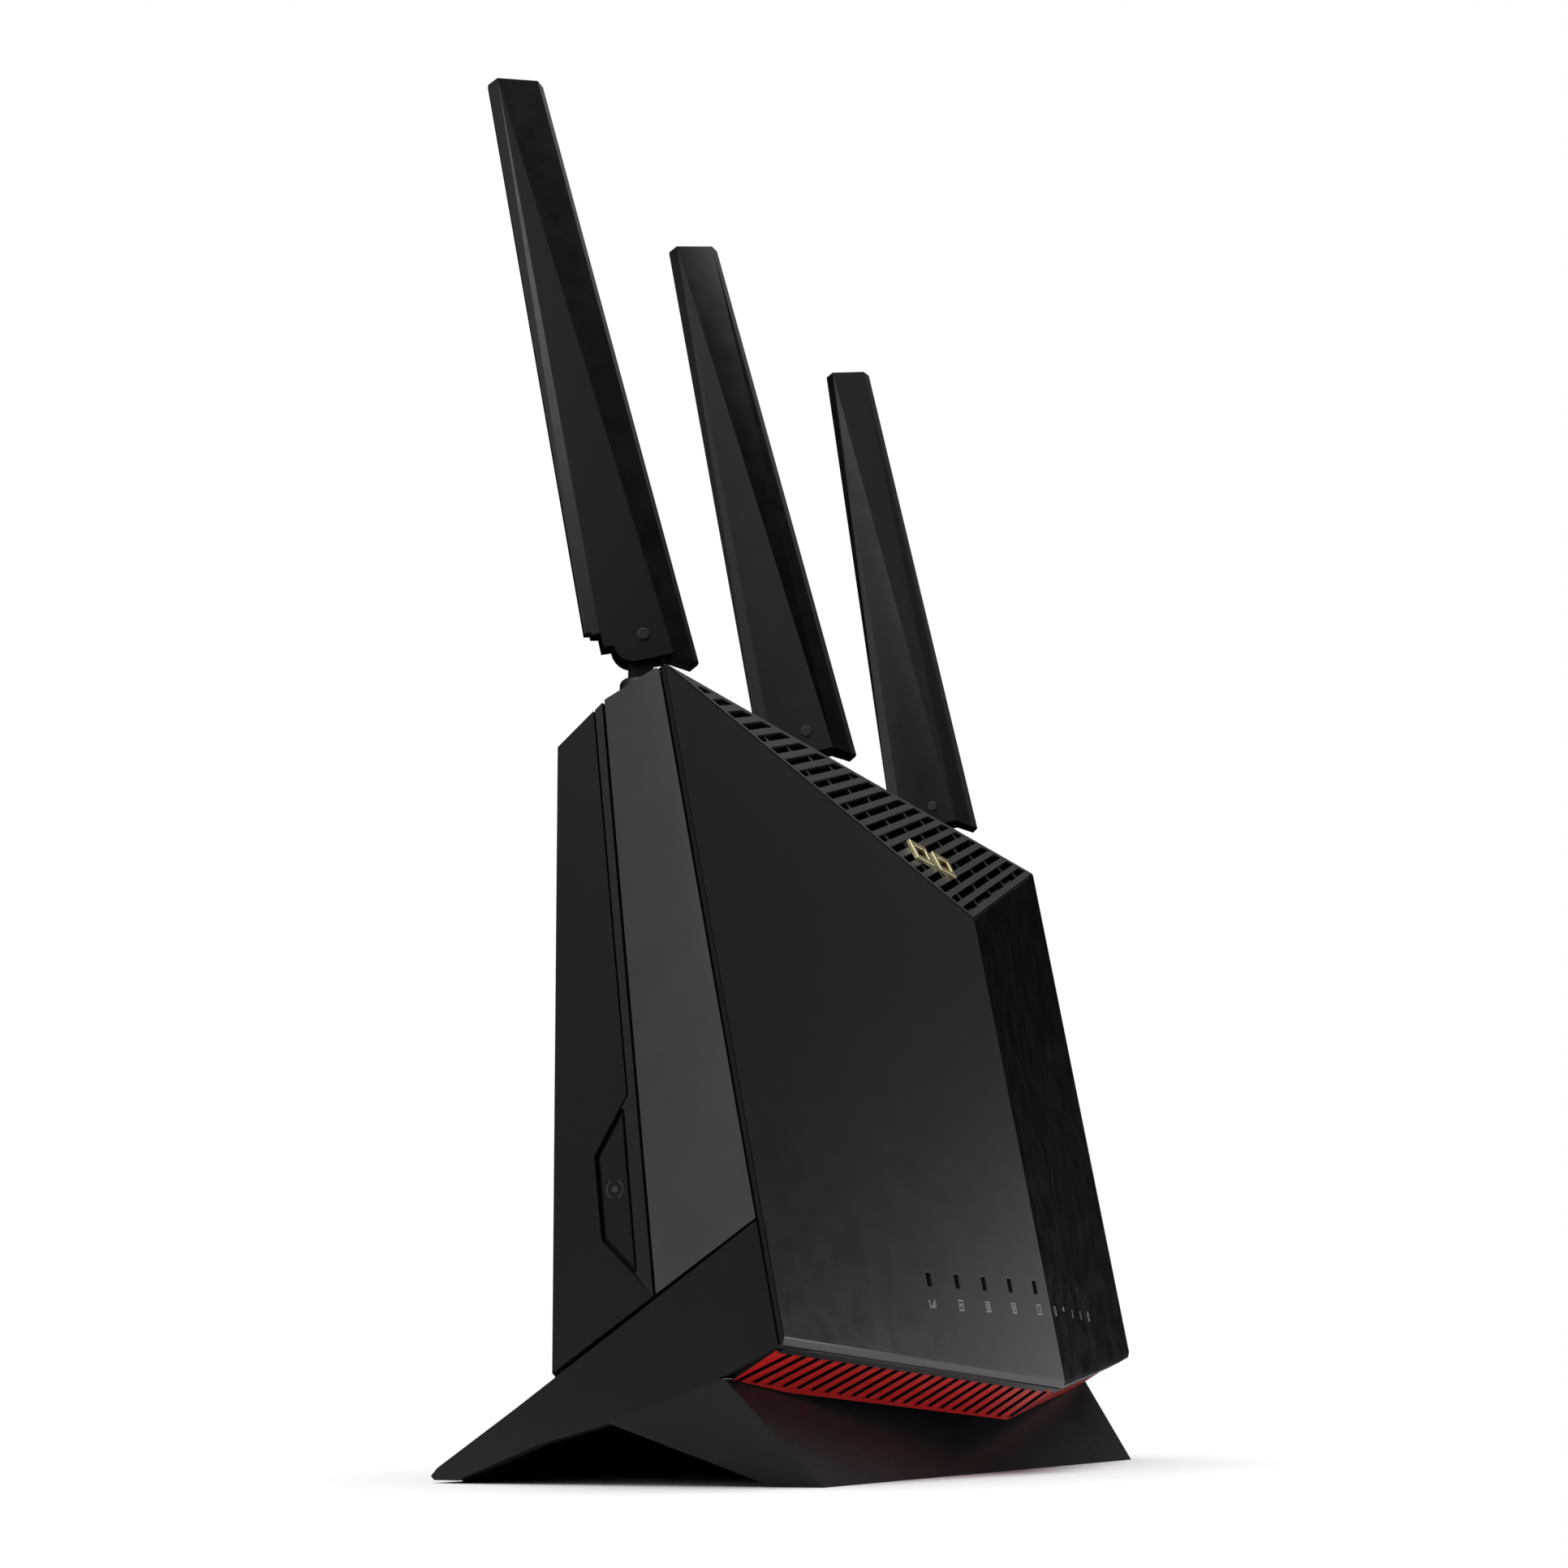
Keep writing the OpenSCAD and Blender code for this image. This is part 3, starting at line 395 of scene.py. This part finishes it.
def digit(number, w, h, line):
    """A numeral drawn with seven bars."""
    bars = {
        "a": rectangle(-w / 2, h / 2 - line, w / 2, h / 2),
        "d": rectangle(-w / 2, -h / 2, w / 2, -h / 2 + line),
        "g": rectangle(-w / 2, -line / 2, w / 2, line / 2),
        "f": rectangle(-w / 2, line / 2, -w / 2 + line, h / 2 - line),
        "b": rectangle(w / 2 - line, line / 2, w / 2, h / 2 - line),
        "e": rectangle(-w / 2, -h / 2 + line, -w / 2 + line, -line / 2),
        "c": rectangle(w / 2 - line, -h / 2 + line, w / 2, -line / 2)}
    return [bars[k] for k in SEGMENTS[number]]


def ring(radius, line, start=0.0, end=360.0, steps=20):
    """A circular band, or a stretch of one, as small quads."""
    turns = [math.radians(start + (end - start) * i / steps) for i in range(steps + 1)]
    return [[((radius + s) * math.cos(t), (radius + s) * math.sin(t))
             for t, s in ((a, 0), (b, 0), (b, -line), (a, -line))] for a, b in zip(turns, turns[1:])]


def print_on(name, shapes, spot, across, material, body=HOUSING, thick=0.04 * MM):
    """Flat shapes in millimetres, printed as a thin raised layer at a spot: a point and its normal."""
    point, normal = spot
    across = (across - normal * across.dot(normal)).normalized()
    up = normal.cross(across)
    verts, faces = [], []
    for shape in shapes:
        first = len(verts)
        count = len(shape)
        for lift in (0.01 * MM, thick):
            verts += [point + across * (x * MM) + up * (y * MM) + normal * lift for x, y in shape]
        faces.append([first + count + i for i in range(count)])
        faces.append([first + i for i in reversed(range(count))])
        for i in range(count):
            j = (i + 1) % count
            faces.append([first + i, first + j, first + count + j, first + count + i])
    new_piece(name, verts, faces, material, body)


RIGHT, LEFT, UP = Vector((1, 0, 0)), Vector((-1, 0, 0)), Vector((0, 0, 1))
BACKWARD, FORWARD = (0, 1, 0), (0, -1, 0)
IN_FRONT, BEHIND, FAR_LEFT = -0.1, 0.2, -0.2  # where rays towards the surfaces start


def indicator_prints():
    """Small symbols below the ten windows."""
    find = surface_finder("front_panel")
    low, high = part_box("light_guide")
    below = (low.z + high.z) / 2 - 5.2 * MM
    first, pitch = 6 * MM, 12.4 * MM
    line = 0.24
    signal_bars = [rectangle(-1.6, -0.9, -1.35, 0.9)]
    signal_bars += [rectangle(-0.9 + 0.55 * i, -0.9, -0.65 + 0.55 * i, -0.3 + 0.4 * i) for i in range(4)]
    symbols = {
        -5: signal_bars,
        1: ring(1.2, line),
        2: ring(1.3, line, 30, 150) + ring(0.7, line, 30, 150),
        3: digit(2, 1.0, 1.9, 0.22),
        4: digit(5, 1.0, 1.9, 0.22),
        5: ring(1.2, line, 120, 420) + [rectangle(-0.12, 0.4, 0.12, 1.5)],
    }
    for number in (4, 3, 2, 1):
        symbols[-number] = outline_box(2.0, 2.4, 0.22) + digit(number, 0.8, 1.3, 0.2)
    for place in sorted(symbols):
        x = math.copysign(first + pitch * (abs(place) - 1), place)
        spot = find((x, IN_FRONT, below), BACKWARD)
        print_on(f"indicator_print_{place + 5}", symbols[place], spot, RIGHT, INK)


def button_mark():
    """A pairing symbol on the side button, raised and nearly the colour of the button."""
    low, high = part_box("side_button")
    middle = (low + high) / 2
    spot = surface_finder("side_button")((FAR_LEFT, middle.y + 0.6 * MM, middle.z), (1, 0, 0))
    shapes = ring(2.0, 0.32, 25, 155) + ring(2.0, 0.32, 205, 335) + ring(0.7, 0.7)
    print_on("side_button_mark", shapes, spot, UP, FAINT_INK, "side_key", 0.08 * MM)


def port_details():
    """Contacts, link lamps and numbers of the sockets on the back, and marks over the rest."""
    low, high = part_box("network_jacks")
    count, width = 6, 17.6 * MM
    pitch = (high.x - low.x - width) / (count - 1)
    middle = (low.z + high.z) / 2
    find = surface_finder("port_plate")
    for i in range(count):
        x = high.x - width / 2 - pitch * i
        verts, faces = [], []
        for k in range(8):
            left = x + (k - 3.5) * 1.02 * MM - 0.22 * MM
            add_box(verts, faces, (left, high.y - 12.8 * MM, middle + 3.2 * MM),
                    (left + 0.44 * MM, high.y - 2.2 * MM, middle + 3.5 * MM))
        new_piece(f"socket_{i + 1}_contacts", verts, faces, CONTACT)
        for letter, offset, lens in (("a", -5.2, GREEN_LENS), ("b", 5.2, AMBER_LENS)):
            verts, faces = [], []
            lamp_x = x + offset * MM
            add_box(verts, faces, (lamp_x - 1.3 * MM, high.y - 0.4 * MM, middle - 5.9 * MM),
                    (lamp_x + 1.3 * MM, high.y + 0.05 * MM, middle - 4.6 * MM))
            new_piece(f"socket_{i + 1}_lamp_{letter}", verts, faces, lens)
        spot = find((x, BEHIND, high.z + 3.0 * MM), FORWARD)
        numeral = digit(i + 1, 1.5, 2.6, 0.35)
        print_on(f"socket_{i + 1}_number", numeral, spot, LEFT, INK)
    marks = {"power_button": ring(1.7, 0.35, 120, 420) + [rectangle(-0.17, 0.5, 0.17, 2.1)],
             "dc_jack": ring(1.8, 0.35, 30, 330) + ring(0.7, 0.7),
             "reset_button": ring(1.5, 0.35, 60, 360) + [rectangle(1.1, -0.5, 1.9, 0.3)]}
    mark_height = 47.6 * MM
    for node, shapes in marks.items():
        low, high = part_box(node)
        spot = find(((low.x + high.x) / 2, BEHIND, mark_height), FORWARD)
        print_on(f"{node}_print", shapes, spot, LEFT, INK)


def corner_seal(name, side):
    """The small seal that closes the corner between the top grille's end, the panel and the cover."""
    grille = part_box("top_grille")[1]
    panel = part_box("front_panel")[1]
    inner = side * (grille.x - 0.3 * MM)
    outer = side * (panel.x - 0.05 * MM)
    top = [Vector((inner, grille.y - 1.60 * MM, panel.z)),
           Vector((outer, grille.y - 1.50 * MM, panel.z - 0.05 * MM)),
           Vector((inner, grille.y - 1.85 * MM, panel.z - 0.35 * MM))]
    into_slope = Vector((0, 0.83, -0.56)) * 1.9 * MM
    verts = top + [v + into_slope for v in top]
    faces = [(2, 1, 0), (3, 4, 5), (1, 4, 3, 0), (2, 5, 4, 1), (0, 3, 5, 2)]
    if side < 0:
        faces = [face[::-1] for face in faces]
    new_piece(name, verts, faces, GRILLE)


def button_springs():
    """The springs behind the buttons, each copied onto the housing in place of its CAD node."""
    for joint in frame["record"]["behaviour"]["joints"]:
        for row in joint.get("deforming_nodes", []):
            node, axis = row["node"], row["mode"][-1]
            low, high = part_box(node)
            anchor = (low + high) / 2
            setattr(anchor, axis, row[f"fixed_end_{axis}_m"])
            spring = place_object(f"{node}_coil", NODES[node].data.copy())
            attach(spring, HOUSING)
            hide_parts(node)
            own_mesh(spring)


def add_box(verts, faces, low, high):
    """A box with slightly cut corners along Y, added to lists of points and faces."""
    first = len(verts)
    cut = min(high[0] - low[0], high[2] - low[2]) * 0.2
    section = [(low[0] + cut, low[2]), (high[0] - cut, low[2]),
               (high[0], low[2] + cut), (high[0], high[2] - cut),
               (high[0] - cut, high[2]), (low[0] + cut, high[2]),
               (low[0], high[2] - cut), (low[0], low[2] + cut)]
    for y in (low[1], high[1]):
        verts += [(x, y, z) for x, z in section]
    faces.append([first + i for i in range(8)])
    faces.append([first + 8 + i for i in reversed(range(8))])
    for i in range(8):
        j = (i + 1) % 8
        faces.append([first + j, first + i, first + 8 + i, first + 8 + j])


indicator_prints()
button_mark()
port_details()
corner_seal("corner_seal_right", 1)
corner_seal("corner_seal_left", -1)
button_springs()


# ---------- stage ----------

FLOOR_RADIUS = 0.19
FLOOR_SIDES = 96
CAMERA_PLACE = (-0.5629, -0.2339, 0.0194)
CAMERA_TURN, CAMERA_RISE = 24.5, 13.9  # degrees, measured as for the glows below
CAMERA_LENS, CAMERA_SENSOR = 55.9, 36  # millimetres

# Each glow of the room: degrees round from +X towards +Y, degrees above the horizon, degrees of full
# light, degrees where it ends, strength, and after it what mirrors it towards the camera.
# The strengths began as a fit to the tones of the photo and were then changed.
GLOWS = (
    (0, 90, 22, 52, 2.75),  # little: it lights the ground and what faces up
    (348, 57, 8, 36, 0.5),  # top grille
    (334, -13, 3, 15, 2.6),  # bevel along the panel's lower edge
    (333, 2, 2, 14, 1.5),  # foot of the panel, left of the ridge
    (330, 8, 2, 12, 0.15),  # lower half of the panel, left of the ridge
    (322, 30, 4, 24, 0.17),  # upper half of the panel, left of the ridge
    (150, 20, 4, 24, 0.66),  # left side of the covers
    (195, 22, 3, 18, 0.68),  # antenna blades
    (130, 5, 3, 20, 0.9),  # narrow left edges of the blades and the rear cover
    (160, -30, 5, 25, 0.9),  # sides of the stand's legs
)
# Each soft box: name, place, target, width in metres, watts
SOFTBOXES = (
    ("left_top_softbox", (-0.55, 0.10, 0.44), (-0.10, 0, 0.15), 0.22, 0.5),
    ("low_front_softbox", (0.10, -0.26, 0.035), (-0.01, -0.04, 0.018), 0.08, 0.07),
)


def make_floor():
    """A round white table, lit so brightly that it melts into the white ground of the picture."""
    turns = [2 * math.pi * i / FLOOR_SIDES for i in range(FLOOR_SIDES)]
    rim = [(FLOOR_RADIUS * math.cos(t), FLOOR_RADIUS * math.sin(t), 0) for t in turns]
    mesh = bpy.data.meshes.new("floor")
    mesh.from_pydata(rim, [], [list(range(FLOOR_SIDES))])
    material, tree, shader, place = new_material("pale_floor")
    tint = ramp(tree, noise(tree, place, 0.2), (0.88, 0.88, 0.88), (0.90, 0.90, 0.90))
    tree.join(tint, shader.inputs["Base Color"])
    shader.inputs["Roughness"].default_value = 0.9
    shader.inputs["Specular IOR Level"].default_value = 0.1
    mesh.materials.append(material)
    place_object("floor", mesh)


def heading(turn, rise):
    """The unit vector for degrees round from +X towards +Y and degrees above the horizon."""
    turn, rise = math.radians(turn), math.radians(rise)
    return Vector((math.cos(turn) * math.cos(rise), math.sin(turn) * math.cos(rise), math.sin(rise)))


def glow(tree, towards, turn, rise, inner, outer, strength):
    """Light from around one direction, full within inner degrees of it and gone at outer degrees."""
    closeness = tree.add("ShaderNodeVectorMath", operation="DOT_PRODUCT")
    closeness.inputs[1].default_value = heading(turn, rise)
    tree.join(towards, closeness.inputs[0])
    fall = tree.add("ShaderNodeMapRange", interpolation_type="SMOOTHERSTEP")
    fall.inputs["From Min"].default_value = math.cos(math.radians(outer))
    fall.inputs["From Max"].default_value = math.cos(math.radians(inner))
    fall.inputs["To Max"].default_value = strength
    tree.join(closeness.outputs["Value"], fall.inputs["Value"])
    return fall.outputs["Result"]


def make_world():
    """A dark room with soft glows for the light, and a white ground for the picture."""
    world = bpy.data.worlds.new("studio")
    bpy.context.scene.world = world
    world.use_nodes = True
    tree = Tree(world)
    tree.nodes.clear()
    towards = tree.add("ShaderNodeTexCoord").outputs["Generated"]
    total = glow(tree, towards, *GLOWS[0])
    for row in GLOWS[1:]:
        both = tree.add("ShaderNodeMath", operation="ADD")
        tree.join(total, both.inputs[0])
        tree.join(glow(tree, towards, *row), both.inputs[1])
        total = both.outputs["Value"]
    room = tree.add("ShaderNodeBackground")
    tree.join(total, room.inputs["Strength"])
    ground = tree.add("ShaderNodeBackground")
    for background in (room, ground):
        background.inputs["Color"].default_value = (1, 1, 1, 1)
    mix = tree.add("ShaderNodeMixShader")
    tree.join(tree.add("ShaderNodeLightPath").outputs["Is Camera Ray"], mix.inputs["Fac"])
    tree.join(room.outputs["Background"], mix.inputs[1])
    tree.join(ground.outputs["Background"], mix.inputs[2])
    tree.join(mix.outputs["Shader"], tree.add("ShaderNodeOutputWorld").inputs["Surface"])


def aim(obj, place, forward):
    obj.location = place
    obj.rotation_euler = forward.to_track_quat("-Z", "Y").to_euler()


def area_light(name, place, target, size, power):
    light = bpy.data.lights.new(name, "AREA")
    light.energy = power
    light.size = size
    aim(place_object(name, light), place, Vector(target) - Vector(place))


def make_camera():
    """A low view from the front left, looking up a little."""
    camera = bpy.data.cameras.new("camera")
    camera.lens = CAMERA_LENS
    camera.sensor_width = CAMERA_SENSOR
    camera.clip_start = 0.01
    obj = place_object("camera", camera)
    aim(obj, CAMERA_PLACE, heading(CAMERA_TURN, CAMERA_RISE))
    bpy.context.scene.camera = obj


make_floor()
make_world()
make_camera()
for softbox in SOFTBOXES:
    area_light(*softbox)
bpy.context.scene.view_settings.view_transform = "Standard"
